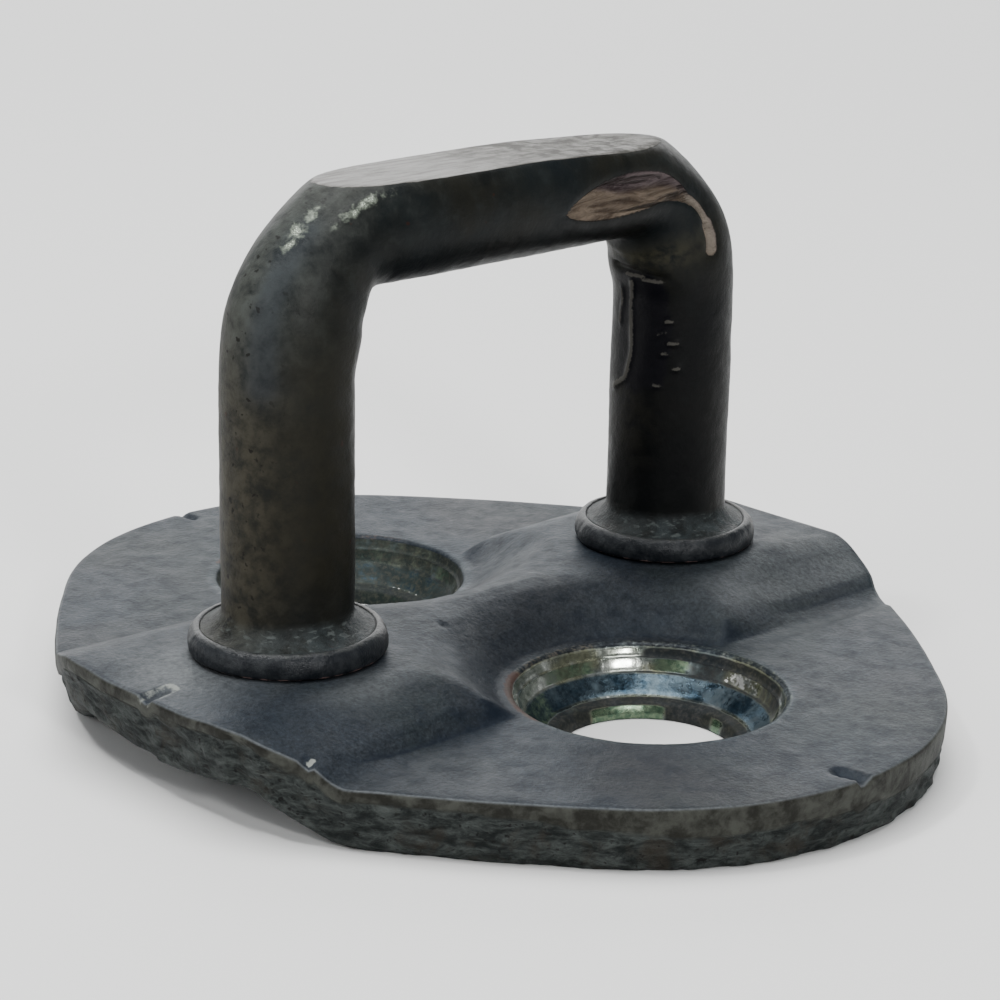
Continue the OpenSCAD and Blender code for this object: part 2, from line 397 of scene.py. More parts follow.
def bar_material():
    """Dark oxide with a weathered side, a bare pressed flat painted light for its reflection, patches
    rubbed by a latch, and painted highlights, sheen and shade.
    """
    s = Shader("bar_steel")
    weather = s.field("weather")
    mottle = s.noise(0.7, 6.0, 0.65, 0.2, seed=3.0)
    grain = s.noise(3.0, 4.0, 0.7, seed=6.0)
    lengthwise = s.noise(1.0, 6.0, 0.75, 0.3, stretch=(0.2, 1.5, 1.5), seed=9.0)
    spots = s.noise(1.3, 3.0, 0.55, 0.4, seed=22.0)
    fibre = s.noise(0.45, 5.0, 0.65, 1.2, stretch=(0.4, 1.6, 1.9), seed=19.0)
    score = s.step(s.noise(0.4, 4.0, 0.6, 0.8, stretch=(0.3, 1.3, 2.2), seed=20.0), 0.57, 0.68)
    dash = s.step(s.noise(1.7, 3.0, 0.6, 0.5, stretch=(0.7, 0.7, 2.2), seed=21.0), 0.54, 0.66)
    color = oxide_color(s, mottle, weather)

    # rough pale metal on the fillet at the foot
    foot = s.field("flare")
    flare = s.times(foot, s.ramp(mottle, 0.36, 0.64, 0.15, 1.0))
    color = s.blend(s.times(flare, 0.8), color, (0.04, 0.05, 0.053))
    color = s.blend(s.times(s.times(dash, foot), 0.8), color, (0.075, 0.086, 0.083))

    # the pressed flat: bare metal, painted light as well for the sky's reflection off it
    flat = s.patch("flat", s.loose(mottle, 0.7), 0.35, 0.7)
    color = s.blend(flat, color, flat_color(s, mottle, grain, lengthwise))

    # polished spots on the bend's outside, also painted bright as highlights
    wander = s.math("ADD", s.loose(spots, 3.2), s.loose(grain, 0.6))
    glint = s.times(s.patch("glint", wander, 0.4, 1.4), s.step(s.field("glint"), 0.12, 0.5))
    color = s.blend(glint, color, (0.24, 0.27, 0.22))

    bare = s.patch("bare", s.loose(grain, 0.3), 0.42, 0.56)
    color = s.blend(bare, color, bare_color(s, fibre, score))

    # the bruise where a latch has hammered the leg, and the raised lines beside it
    bruise = s.patch("bruise", s.loose(mottle, 0.9), 0.4, 0.6)
    color = s.blend(bruise, color, (0.0015, 0.0015, 0.003))
    line = s.patch("line", s.loose(grain, 1.2), 0.4, 0.75)
    color = s.blend(s.times(line, 0.9), color, (0.06, 0.057, 0.05))

    rough = s.mix(weather, s.ramp(mottle, 0.3, 0.7, 0.34, 0.5), 0.5)
    rough = s.mix(flat, rough, s.ramp(s.field("worn"), 0.0, 1.0, 0.5, 0.66))
    rough = s.mix(bare, rough, 0.5)
    rough = s.mix(glint, rough, 0.22)
    metal = s.mix(s.clamp(s.math("ADD", bare, s.times(glint, 1.5))), 0.0, 0.6)
    metal = s.mix(flat, metal, 0.45)

    rugged = s.math("MAXIMUM", s.field("glint"), foot)
    lumps = s.math("ADD", mottle, s.times(grain, 0.5))
    normal = s.bump(s.relief(mottle, grain, 0.7), 0.1)
    normal = s.bump(s.times(s.math("SUBTRACT", fibre, score), bare), 0.3, normal)
    normal = s.bump(s.times(lengthwise, flat), 0.12, normal)
    normal = s.bump(s.times(lumps, rugged), 0.25, normal)
    return s.finish(color, rough, metal, normal, 0.1)


def ring_material():
    """Dark oxide over a pressed ring, with a rubbed crown also painted lighter as its highlight, one side
    painted lighter as lit, and a raw line at the foot.
    """
    s = Shader("ring_steel")
    mottle = s.noise(0.8, 6.0, 0.65, 0.3, seed=31.0)
    grain = s.noise(2.4, 4.0, 0.7, seed=33.0)
    color = s.shades(mottle, 0.4, 0.65, (0.0065, 0.008, 0.0105), (0.02, 0.0225, 0.025))
    # painted light: both rings lighter on the same side, towards +X and the back
    color = s.blend(s.times(s.field("right"), 0.75), color, (0.036, 0.034, 0.032))
    # a rubbed crown, painted lighter as well for the bead's highlight
    crown_rub_and_highlight = s.patch("crown", s.loose(grain, 1.6), 0.6, 1.2)
    color = s.blend(s.times(crown_rub_and_highlight, 0.35), color, (0.05, 0.053, 0.046))
    raw = s.patch("foot", s.loose(mottle, 3.0), 0.8, 1.1)
    color = s.blend(raw, color, (0.2, 0.13, 0.12))
    rough = s.ramp(mottle, 0.3, 0.7, 0.3, 0.45)
    return s.finish(color, rough, 0.0, s.bump(s.relief(mottle, grain, 0.6), 0.2), 0.22)


def floor_material():
    """A plain, pale, matt studio floor."""
    s = Shader("studio_floor")
    s.put((0.74, 0.74, 0.73), s.bsdf.inputs["Base Color"])
    s.put(0.8, s.bsdf.inputs["Roughness"])
    s.put(0.15, s.bsdf.inputs["Specular IOR Level"])
    return s.material


# ---------------------------------------------------------------- base plate

LOBE_RADIUS = 24.3
CORNER_RADIUS = 11.0
FLANK_FROM = math.radians(31.0)
FLANK_TO = math.radians(43.0)
EDGE_STEP = 0.42


def quarter_outline():
    """Points and outward normals of a quarter of the plate's edge, from +X round to +Y."""
    lobe_y = HALF_LENGTH - LOBE_RADIUS
    corner_x = HALF_WIDTH - CORNER_RADIUS
    span = math.cos(FLANK_TO) - math.cos(FLANK_FROM)
    reach = LOBE_RADIUS * math.cos(FLANK_TO) - CORNER_RADIUS * math.cos(FLANK_FROM)
    flank_radius = (reach - corner_x) / span
    flank_x = (LOBE_RADIUS - flank_radius) * math.cos(FLANK_TO)
    flank_y = lobe_y + (LOBE_RADIUS - flank_radius) * math.sin(FLANK_TO)
    corner_y = flank_y + (flank_radius - CORNER_RADIUS) * math.sin(FLANK_FROM)
    rows = []
    for y in np.arange(0.0, corner_y, EDGE_STEP):
        rows.append((HALF_WIDTH, y, 1.0, 0.0))
    arcs = [
        (corner_x, corner_y, CORNER_RADIUS, 0.0, FLANK_FROM),
        (flank_x, flank_y, flank_radius, FLANK_FROM, FLANK_TO),
        (0.0, lobe_y, LOBE_RADIUS, FLANK_TO, math.pi / 2),
    ]
    for cx, cy, radius, start, end in arcs:
        count = int(radius * (end - start) / EDGE_STEP)
        for i in range(count):
            a = start + (end - start) * i / count
            rows.append((cx + radius * math.cos(a), cy + radius * math.sin(a), math.cos(a), math.sin(a)))
    return np.array(rows)


def full_outline():
    """The whole edge as a closed loop, counter-clockwise: columns x, y, normal x, normal y."""
    first = quarter_outline()
    top = np.array([[0.0, HALF_LENGTH, 0.0, 1.0]])
    second = first[:0:-1] * (-1.0, 1.0, -1.0, 1.0)
    start = first[:1] * (-1.0, 1.0, -1.0, 1.0)
    upper = np.vstack([first, top, second, start])
    lower = upper[1:-1] * -1.0
    return np.vstack([upper, lower])


# How far the band's slopes fall below its top, as (distance, drop) points. The distance is from the
# band's centre line for the slopes and from a screw hole's centre for the scallops.
SLOPE_LEFT = (
    (7.5, 0.0), (9.5, 0.1), (10.5, 0.3), (12.6, 1.1), (15.2, 2.1), (16.3, 3.2), (17.0, 3.62), (19.0, 3.5),
)
SLOPE_MIDDLE = (
    (7.5, 0.0), (9.0, 0.15), (10.5, 0.6), (12.5, 1.4), (14.0, 2.1), (15.3, 3.4), (16.2, 3.5), (19.0, 3.5),
)
SLOPE_RIGHT = (
    (7.5, 0.0), (9.4, 0.75), (10.9, 1.6), (13.0, 2.6), (13.9, 3.5), (15.0, 3.8), (16.6, 3.8), (17.6, 3.5),
)
SCALLOP = ((10.9, 3.5), (11.6, 3.4), (13.7, 1.95), (15.0, 1.15), (16.5, 0.5), (18.3, 0.12), (20.0, 0.0))

# Grooves in the plate's upper face: depth, then the centre's x and y, half length, half width and turn
GROOVES = (
    (0.5, -33.6, 0.0, 1.9, 0.7, 0.0),                       # centre mark on the band's left end
    (0.5, -1.0, -39.4, 2.2, 0.75, math.radians(100.0)),     # centre mark on the near lobe
    (0.3, 0.0, 39.6, 2.0, 0.55, math.radians(90.0)),        # centre mark on the far lobe
    (0.35, -31.2, -14.9, 1.1, 0.5, math.radians(30.0)),     # nick in the near left edge
    (0.3, -7.6, -3.1, 0.45, 0.3, 0.5),                      # two pits on the band
    (0.3, 9.3, 8.9, 0.4, 0.3, 1.1),
)


def profile(points, x):
    far, drop = zip(*points)
    return np.interp(x, far, drop)


def soft_max(a, b, width):
    """The larger of two heights, with a rounded join of about the given width."""
    h = np.clip(0.5 + 0.5 * (a - b) / width, 0.0, 1.0)
    return b + (a - b) * h + width * h * (1.0 - h)


def band_drop(x, y):
    """How far the plate's upper face lies below the band's flat top, in mm."""
    far = np.abs(y)
    left = profile(SLOPE_LEFT, far)
    middle = profile(SLOPE_MIDDLE, far)
    right = profile(SLOPE_RIGHT, far)
    straight = middle + (left - middle) * smoothstep(-22.0, -33.0, x)
    straight = np.where(y < 0.0, straight + (right - straight) * smoothstep(12.0, 24.0, x), straight)
    from_hole = np.hypot(x, far - HOLE_Y)
    scallop = profile(SCALLOP, from_hole)
    lowest = np.maximum(straight, scallop)
    rounded = np.minimum(soft_max(straight, scallop, 0.5), BAND_RISE)
    return np.where(lowest >= BAND_RISE, lowest, rounded)


def groove(x, y, cx, cy, half_length, half_width, angle):
    """1 on a short straight groove's floor, 0 off it."""
    c, s = math.cos(angle), math.sin(angle)
    u = (x - cx) * c + (y - cy) * s
    v = -(x - cx) * s + (y - cy) * c
    along = smoothstep(half_length, half_length - 0.5, np.abs(u))
    return along * smoothstep(half_width, half_width * 0.35, np.abs(v))


def plate_top(x, y):
    """Height of the plate's upper face. Both ends of the band droop."""
    drop = band_drop(x, y)
    high = np.clip(1.0 - drop / BAND_RISE, 0.0, 1.0)
    z = BAND_TOP - drop
    z -= smoothstep(26.0, 35.0, -x) * (0.25 + 0.35 * smoothstep(8.0, 4.0, np.abs(y))) * high
    z -= 0.65 * smoothstep(25.0, 35.0, x) * high
    for depth, *place in GROOVES:
        z -= depth * groove(x, y, *place)
    return z


def plate_bottom(x, y):
    """Height of the plate's underside, with the channel under the band."""
    across = smoothstep(17.8, 9.5, np.abs(y))
    hole = np.hypot(x, np.abs(y) - HOLE_Y)
    droop = 0.7 * smoothstep(24.0, 34.0, np.abs(x)) * smoothstep(9.0, 2.0, np.abs(y))
    return (CHANNEL_DEPTH - droop) * across * smoothstep(11.4, 16.0, hole)


def circle(cx, cy, radius, count):
    a = np.arange(count) * 2.0 * math.pi / count
    return np.stack([cx + radius * np.cos(a), cy + radius * np.sin(a)], 1)


def sheet(loops, spacing, inside):
    """Triangulates the flat region between closed loops. Returns 2-D points and triangles."""
    points = [Vector(p) for loop in loops for p in loop]
    edges = []
    start = 0
    for loop in loops:
        edges += [(start + i, start + (i + 1) % len(loop)) for i in range(len(loop))]
        start += len(loop)
    row_height = spacing * math.sqrt(3) / 2
    rows = int(2 * HALF_LENGTH / row_height)
    columns = int(2 * HALF_WIDTH / spacing) + 1
    grid = [
        (-HALF_WIDTH + (i + 0.5 * (j % 2)) * spacing, -HALF_LENGTH + j * row_height)
        for j in range(rows + 1) for i in range(columns + 1)
    ]
    grid = np.array(grid)
    points += [Vector(p) for p in grid[inside(grid, spacing * 0.6)]]
    out, _, faces, _, _, _ = geometry.delaunay_2d_cdt(points, edges, [], 1, 1e-7, False)
    xy = np.array([(p.x, p.y) for p in out])
    faces = [f for f in faces if inside(xy[list(f)].mean(0)[None, :], 0.0)[0]]
    return xy, faces


class PlateBuilder:
    """Collects the plate's points, its faces and one value per point for each shading field."""

    FIELDS = (
        "wall", "tear", "chip", "slope", "scuff",
        "sink", "cone", "silver", "stain", "green", "flake", "rust",
    )

    def __init__(self):
        self.points = []
        self.faces = []
        self.fields = {name: [] for name in self.FIELDS}

    def add(self, points, **fields):
        """Adds points and returns their numbers."""
        first = len(self.points)
        self.points.extend(map(tuple, points))
        for name in self.FIELDS:
            values = np.broadcast_to(np.asarray(fields.get(name, 0.0), float), (len(points),))
            self.fields[name].extend(values)
        return np.arange(first, first + len(points))

    def bridge(self, upper, lower):
        """Joins two closed rings of equal length. Faces look outwards from a ring that turns left."""
        count = len(upper)
        for i in range(count):
            j = (i + 1) % count
            self.faces.append((int(upper[i]), int(lower[i]), int(lower[j]), int(upper[j])))


def edge_levels():
    """The edge wall's rings from top to bottom, as (kind, how far through the kind)."""
    levels = [("round_top", a) for a in (0.0, 0.35, 0.7, 1.0)]
    levels += [("wall", a) for a in np.linspace(0.0, 1.0, 17)[1:]]
    return levels + [("round_bottom", a) for a in (0.25, 0.5, 0.75, 1.0)]


def tear_line(x, y):
    """How far down the wall the smooth sheared band ends and the torn band starts, from 0 to 1."""
    turn = np.arctan2(y, x)
    front_left = np.exp(-((turn + 2.5) / 0.42) ** 2)
    left_end = np.exp(-((np.abs(turn) - math.pi) / 0.35) ** 2)
    return 0.44 - 0.32 * front_left - 0.26 * left_end


def edge_rings(plate, outline):
    """The plate's sheared edge, from the top face's rim to the underside's rim. Returns both rims."""
    x, y, nx, ny = outline.T
    turn = np.arctan2(y, x)
    top_round = 0.3
    far_left = np.exp(-((turn - 2.6) / 0.42) ** 2)
    near_left = np.exp(-((turn + 2.75) / 0.35) ** 2)
    round_in = 0.45 + 1.5 * far_left + 0.5 * near_left
    round_up = 0.45 + 1.9 * far_left
    place = np.stack([x, y, np.zeros_like(x)], 1)
    wander = fractal(place, 0.2, 3, 4)
    top = plate_top(x - nx * top_round, y - ny * top_round)
    bottom = plate_bottom(x, y)
    kink = smoothstep(-9.2, -8.9, y) * smoothstep(-33.0, -33.6, x) * smoothstep(2.0, -3.0, y)
    notch = smoothstep(-12.5, -9.2, y) * smoothstep(-32.5, -33.2, x) * (y < -8.9)
    rings = []
    for kind, t in edge_levels():
        part = {"round_top": 0.0, "wall": t, "round_bottom": 1.0}[kind]
        inset = 0.0
        if kind == "round_top":
            inset = top_round * (1.0 - math.sin(t * math.pi / 2))
            z = top - top_round * (1.0 - math.cos(t * math.pi / 2))
        elif kind == "wall":
            z = (top - top_round) + (bottom + round_up - top + top_round) * t
        else:
            inset = round_in * (1.0 - math.cos(t * math.pi / 2))
            z = bottom + round_up * (1.0 - math.sin(t * math.pi / 2))
        line = tear_line(x, y) + 0.12 * wander
        torn = smoothstep(line, line + 0.07, np.full_like(x, part))
        lean = 0.5 * part ** 1.5 * (1.0 - 0.5 * np.cos(turn)) + 0.12 * torn
        away = inset + lean + 0.4 * (1.0 - kink) * notch * (part > 0.05)
        spot = np.stack([x - nx * away, y - ny * away, z], 1)
        rough = fractal(spot * (0.6, 0.6, 1.4), 0.9, 21, 4) * 0.22 * torn
        fine = fractal(spot, 1.3, 24, 2) * 0.08 * torn
        push = np.minimum(rough + fine + fractal(spot, 0.25, 22, 2) * 0.05, 0.14)
        if part == 0.0 and t == 0.0 or kind == "round_bottom" and t == 1.0:
            push = push * 0.0
        spot[:, 0] += nx * push
        spot[:, 1] += ny * push
        shade = 0.0 if kind == "round_top" and t < 0.7 else 1.0
        # painted highlight: a thin light line along the plate's top edge, carried in the scuff field
        rim = 0.55 if kind == "round_top" and t > 0.0 else 0.0
        rings.append(plate.add(spot, wall=shade, tear=torn, scuff=rim, chip=chipped(x, y) * (part < 0.02)))
    for upper, lower in zip(rings, rings[1:]):
        plate.bridge(upper, lower)
    return rings[0], rings[-1]


def sink_profile():
    """A countersink's section from its mouth down, as (radius, height, zone)."""
    wall_r = SINK_R - SINK_WALL_TAPER
    wall_z = PLATE_T - SINK_WALL_DEPTH
    land_z = PLATE_T - SINK_DEPTH
    step_z = PLATE_T - 0.95
    lip_r = 8.05
    cone_r, cone_z = wall_r - 0.3, wall_z - 0.22
    rows = [
        (SINK_R + 0.45, PLATE_T, "rim"),
        (SINK_R + 0.2, PLATE_T - 0.05, "rim"),
        (SINK_R, PLATE_T - 0.22, "rim"),
        (SINK_R - 0.12, PLATE_T - 0.45, "upper"),
        (SINK_R - 0.24, PLATE_T - 0.7, "upper"),
        (SINK_R - 0.34, step_z, "upper"),
        (SINK_R - 0.5, step_z - 0.07, "seam"),
        (SINK_R - 0.53, step_z - 0.2, "lower"),
        (SINK_R - 0.66, step_z - 0.5, "lower"),
        (wall_r + 0.12, wall_z + 0.3, "lower"),
        (wall_r, wall_z + 0.08, "lower"),
        (wall_r - 0.14, wall_z - 0.06, "seam"),
    ]
    for part in (0.0, 0.25, 0.5, 0.75, 1.0):
        z = cone_z + (land_z + 0.12 - cone_z) * part
        rows.append((cone_r + (lip_r - cone_r) * part, z, "cone"))
    return rows + [
        (lip_r - 0.2, land_z + 0.04, "lip"),
        (lip_r - 0.45, land_z - 0.05, "land"),
        (HOLE_R + 0.35, land_z - 0.16, "land"),
        (HOLE_R + 0.12, land_z - 0.3, "land"),
        (HOLE_R + 0.04, land_z - 0.5, "bore"),
        (HOLE_R - 0.1, land_z * 0.4, "bore"),
        (HOLE_R - 0.18, 0.15, "bore"),
        (HOLE_R - 0.08, 0.0, "bore"),
    ]


def arc(angle, centre, half):
    """1 near an angle in degrees, fading to 0 just past half degrees away."""
    off = np.abs((angle - centre + 180.0) % 360.0 - 180.0)
    return smoothstep(half + 5.0, half - 5.0, off)


# Marks on each zone of the near countersink: field, strength, middle and half width in degrees
# The silver arcs at 57 degrees paint the glint on the near wall; those at 125 degrees are the wall's
# silvery metal.
SINK_ARCS = {
    "rim": (("rust", 0.9, 146.0, 30.0), ("rust", 0.5, 95.0, 30.0)),
    "upper": (
        ("stain", 1.0, 5.0, 42.0), ("stain", 0.3, 172.0, 16.0), ("rust", 0.45, 150.0, 22.0),
        ("silver", 1.0, 57.0, 9.0), ("silver", 0.8, 125.0, 32.0),
    ),
    "seam": (("silver", 0.5, 57.0, 9.0),),
    "lower": (
        ("stain", 0.7, 12.0, 12.0), ("stain", 0.7, -32.0, 14.0), ("green", 0.9, 33.0, 9.0),
        ("green", 0.7, 85.0, 16.0), ("flake", 1.0, -7.0, 13.0), ("silver", 1.0, 57.0, 9.0),
        ("silver", 0.9, 125.0, 34.0),
    ),
    "cone": (("green", 0.6, 128.0, 24.0), ("stain", 0.35, -15.0, 40.0)),
    "lip": (("green", 0.6, 128.0, 24.0), ("flake", 0.6, 52.0, 24.0)),
    "land": (),
    "bore": (("green", 1.1, 58.0, 26.0), ("green", 1.1, -9.0, 5.0)),
}
# How much each zone shows the burnished countersink's colors, where that isn't 1
SINK_SHARE = {"rim": 0.35, "seam": 0.85}
CONE_SHARE = {"cone": 1.0, "lip": 0.35}


def sink_marks(zone, angle, side):
    """Shading fields round one countersink at angles in degrees, for one zone of its section."""
    if side > 0:
        angle = angle + 50.0
    marks = {name: np.zeros_like(angle) for name in ("silver", "stain", "green", "flake", "rust")}
    for name, strength, centre, half in SINK_ARCS[zone]:
        marks[name] = np.maximum(marks[name], strength * arc(angle, centre, half))
    # painted shade along the seam between the wall's facets, on the ledge and in the bore
    if zone == "seam":
        marks["stain"] = 0.5 + 0.4 * arc(angle, 10.0, 50.0)
    elif zone == "land":
        marks["stain"] += 0.95
    elif zone == "bore":
        marks["stain"] = 1.1 - marks["green"]
    # painted shade: the far hole darkened all round
    if side > 0:
        dark = 0.9 if zone in ("land", "bore") else 0.75
        marks["green"] = np.maximum(marks["green"], 0.6)
        marks["stain"] = np.maximum(marks["stain"], dark)
        marks["silver"] *= 0.3
    return marks | {"sink": SINK_SHARE.get(zone, 1.0), "cone": CONE_SHARE.get(zone, 0.0)}


def sink_rings(plate, section, side, count):
    """A countersunk hole's wall, from its mouth to the underside. Returns the rims on both faces."""
    rings = []
    for r, z, zone in section:
        ring = circle(0.0, side * HOLE_Y, r, count)[::-1]
        spot = np.column_stack([ring, np.full(count, z)])
        if 0.0 < z < PLATE_T:
            spread = fractal(spot, 0.5, 41, 3) * 0.08 + fractal(spot, 2.0, 42, 2) * 0.02
            way = (ring - (0.0, side * HOLE_Y)) / r
            limit = 0.0 if zone == "bore" else 0.04
            spot[:, :2] += way * np.minimum(spread, limit)[:, None]
        angle = np.degrees(np.arctan2(ring[:, 1] - side * HOLE_Y, ring[:, 0]))
        rings.append(plate.add(spot, **sink_marks(zone, angle, side)))
    for upper, lower in zip(rings, rings[1:]):
        plate.bridge(upper, lower)
    return rings[0], rings[-1]


def bore_rings(plate, side, count):
    """A tenon's plain bore through the band. Returns the rims on both faces."""
    rings = []
    for z in (BAND_TOP, CHANNEL_DEPTH):
        ring = circle(side * LEG_X, 0.0, TENON_R, count)[::-1]
        rings.append(plate.add(np.column_stack([ring, np.full(count, z)])))
    plate.bridge(rings[0], rings[1])
    return rings[0], rings[1]


def chipped(x, y):
    """Bright bare metal: the rims of the left mark and a chip on the front left edge."""
    rims = groove(x, y, -33.2, 0.0, 2.5, 1.25, 0.0) * (1.0 - groove(x, y, -33.4, 0.0, 2.1, 0.55, 0.0))
    front = groove(x, y, -30.4, -14.6, 0.75, 0.3, math.radians(15.0))
    return np.maximum(0.9 * rims, front)


def crease_and_slope_shade(x, y):
    """Painted shade along creases and, beside a screw hole, on steep metal. 0 on flat metal."""
    reach = 0.4
    here = plate_top(x, y)
    east, west = plate_top(x + reach, y), plate_top(x - reach, y)
    north, south = plate_top(x, y + reach), plate_top(x, y - reach)
    steep = smoothstep(0.42, 1.0, np.hypot(east - west, north - south) / (2 * reach))
    bend = smoothstep(0.4, 1.1, np.abs(east + west + north + south - 4.0 * here) / reach ** 2)
    near_hole = smoothstep(15.0, 13.5, np.hypot(x, np.abs(y) - HOLE_Y))
    return np.maximum((0.22 + 0.6 * near_hole) * steep, 0.7 * bend)


def scuffed(x, y):
    """Pale scuffs: left of the left collar, on the near left shoulder and on the near right slope."""
    left = np.exp(-((x + 29.0) / 4.0) ** 2 - ((y - 1.0) / 6.0) ** 2)
    front = np.exp(-((x + 21.0) / 5.0) ** 2 - ((y + 9.5) / 1.6) ** 2)
    right = np.exp(-((y + 11.0) / 2.8) ** 2) * smoothstep(9.0, 18.0, x)
    return np.clip(0.75 * left + 0.4 * front + 0.4 * right, 0.0, 1.0)


def fill_face(plate, xy, faces, rims, height, upward):
    """Adds a triangulated face whose first points are the given rims, already in the plate."""
    known = np.concatenate(rims)
    inner = xy[len(known):]
    z = height(inner[:, 0], inner[:, 1])
    spot = np.column_stack([inner, z])
    fields = {}
    if upward:
        from_rim = np.hypot(inner[:, 0], np.abs(inner[:, 1]) - HOLE_Y) - SINK_R - 0.4
        fade = np.clip(from_rim / 1.5, 0.0, 1.0)
        waves = fractal(spot, 0.12, 51, 3) * 0.09 * fade
        spot[:, 2] += waves + fractal(spot, 0.9, 52, 3) * 0.02 * fade
        spot[:, 2] = np.minimum(spot[:, 2], BAND_TOP + 0.02)
        x, y = inner.T
        fields = {"slope": crease_and_slope_shade(x, y), "scuff": scuffed(x, y), "chip": chipped(x, y)}
    numbers = np.concatenate([known, plate.add(spot, **fields)])
    for a, b, c in faces:
        face = (int(numbers[a]), int(numbers[b]), int(numbers[c]))
        plate.faces.append(face if upward else face[::-1])


def plate_region(edge, hole_r):
    """A test for 2-D points that lie on the plate's metal, at least a margin from every edge."""
    angle = np.mod(np.arctan2(edge[:, 1], edge[:, 0]), 2 * math.pi)
    order = np.argsort(angle)
    angle = angle[order]
    reach = np.hypot(edge[:, 0], edge[:, 1])[order]

    def inside(points, margin):
        x, y = points[:, 0], points[:, 1]
        limit = np.interp(np.mod(np.arctan2(y, x), 2 * math.pi), angle, reach, period=2 * math.pi)
        ok = np.hypot(x, y) < limit - margin * 1.15
        ok &= np.hypot(x, np.abs(y) - HOLE_Y) > hole_r + margin
        ok &= np.hypot(np.abs(x) - LEG_X, y) > TENON_R + margin
        return ok

    return inside


SINK_SIDES = 168
BORE_SIDES = 48
UNDERSIDE_SPACING = 0.9


def build_plate():
    """The plate as one closed skin: its edge, both countersinks, both bores and its two faces."""
    plate = PlateBuilder()
    section = sink_profile()
    outline = full_outline()
    rim_top, rim_bottom = edge_rings(plate, outline)
    sinks = [sink_rings(plate, section, side, SINK_SIDES) for side in (-1, 1)]
    bores = [bore_rings(plate, side, BORE_SIDES) for side in (-1, 1)]
    for index, spacing, height, upward, hole_r in (
        (0, EDGE_STEP, plate_top, True, section[0][0]),
        (1, UNDERSIDE_SPACING, plate_bottom, False, section[-1][0]),
    ):
        rims = [(rim_top, rim_bottom)[index]] + [s[index] for s in sinks] + [b[index] for b in bores]
        loops = [np.array([plate.points[i][:2] for i in rim]) for rim in rims]
        xy, faces = sheet(loops, spacing, plate_region(loops[0], hole_r))
        fill_face(plate, xy, faces, rims, height, upward)
    return make_piece("plate_body", plate.points, plate.faces, plate_material(), plate.fields)


# ---------------------------------------------------------------- striker loop

LEG_LENGTH = BEND_Z - BAND_TOP
BEND_LENGTH = BEND_R * math.pi / 2
BRIDGE_LENGTH = 2 * (LEG_X - BEND_R)
PATH_LENGTH = 2 * LEG_LENGTH + 2 * BEND_LENGTH + BRIDGE_LENGTH
SIDES = 132


def path_frame(s):
    """Centre (x, z) and outward normal (x, z) of the bar, at s mm from the left leg's foot."""
    mirror = 1.0
    if s > PATH_LENGTH / 2:
        s = PATH_LENGTH - s
        mirror = -1.0
    if s < LEG_LENGTH:
        return mirror * -LEG_X, BAND_TOP + s, mirror * -1.0, 0.0
    turn = (s - LEG_LENGTH) / BEND_R
    if turn < math.pi / 2:
        x = -LEG_X + BEND_R * (1.0 - math.cos(turn))
        return mirror * x, BEND_Z + BEND_R * math.sin(turn), mirror * -math.cos(turn), math.sin(turn)
    return mirror * (-LEG_X + BEND_R + s - LEG_LENGTH - BEND_LENGTH), BRIDGE_Z, 0.0, 1.0


def foot_radius(height):
    """The bar's radius at a height above the band: its shoulder, a hollow fillet, then the bar."""
    if height <= SEAM_HEIGHT:
        return SHOULDER_R
    rise = min((height - SEAM_HEIGHT) / (FILLET_HEIGHT - SEAM_HEIGHT), 1.0)
    return SHOULDER_R - (SHOULDER_R - BAR_R) * (0.6 * math.sin(math.acos(1.0 - rise)) + 0.4 * rise)


def blot(s, phi, s0, phi0, half_s, half_phi, power=2.0):
    """A smooth patch on the bar: 1 at its centre and 0.5 at its half sizes (mm, degrees)."""
    turn = (phi - phi0 + 180.0) % 360.0 - 180.0
    far = np.abs((s - s0) / half_s) ** power + np.abs(turn / half_phi) ** power
    return 1.0 / (1.0 + far ** 2)


def stroke(s, phi, route, half_width):
    """A stroke along a route of (s, phi) points: 1 on it, 0.5 at its half width in mm."""
    u = s
    v = np.radians((phi + 90.0) % 360.0 - 90.0) * BAR_R
    best = np.full_like(u, 1e9)
    points = [(a, math.radians((b + 90.0) % 360.0 - 90.0) * BAR_R) for a, b in route]
    for (au, av), (bu, bv) in zip(points, points[1:]):
        length = max((bu - au) ** 2 + (bv - av) ** 2, 1e-9)
        t = np.clip(((u - au) * (bu - au) + (v - av) * (bv - av)) / length, 0.0, 1.0)
        best = np.minimum(best, np.hypot(u - au - t * (bu - au), v - av - t * (bv - av)))
    return 1.0 / (1.0 + (best / half_width) ** 4)


def leaf(s, phi):
    """The leaf-shaped bare facet on the near side of the bridge's right end."""
    t = np.clip((s - 52.2) / 15.2, 0.0, 1.0)
    upper = 103.0 - 24.0 * np.sin(np.pi * t ** 0.85) ** 0.8 - 8.0 * t
    lower = 104.0 + 15.0 * np.sin(np.pi * t ** 0.75) - 6.0 * t
    middle = (upper + lower) / 2
    half = np.maximum((lower - upper) / 2, 0.3)
    inside = 1.0 - np.abs(phi - middle) / half
    ends = np.minimum(s - 52.2, 67.4 - s)
    return 1.0 / (1.0 + np.exp(-np.minimum(inside * 6.0, ends * 3.0)))


# Patches on the bar by field, each as a strength and then what blot takes. pale is a painted sheen on the
# left bend, shade is painted shade under the bridge, and glint is polished spots also painted bright as
# highlights.
PATCHES = {
    "bruise": ((1.0, 79.3, 170.0, 5.0, 33.0, 3.0),),
    "olive": ((1.0, 71.5, 160.0, 2.6, 46.0), (0.8, 87.0, 185.0, 3.5, 34.0)),
    "weather": ((1.0, 13.0, -6.0, 20.0, 44.0), (0.6, 30.0, -4.0, 10.0, 50.0)),
    "pale": ((0.9, 29.5, 6.0, 6.5, 50.0),),
    "shade": ((1.0, 50.0, 165.0, 17.0, 58.0, 4.0),),
    "glint": ((0.95, 30.4, 24.0, 1.5, 10.0), (0.9, 33.4, 54.0, 2.0, 6.0)),
}
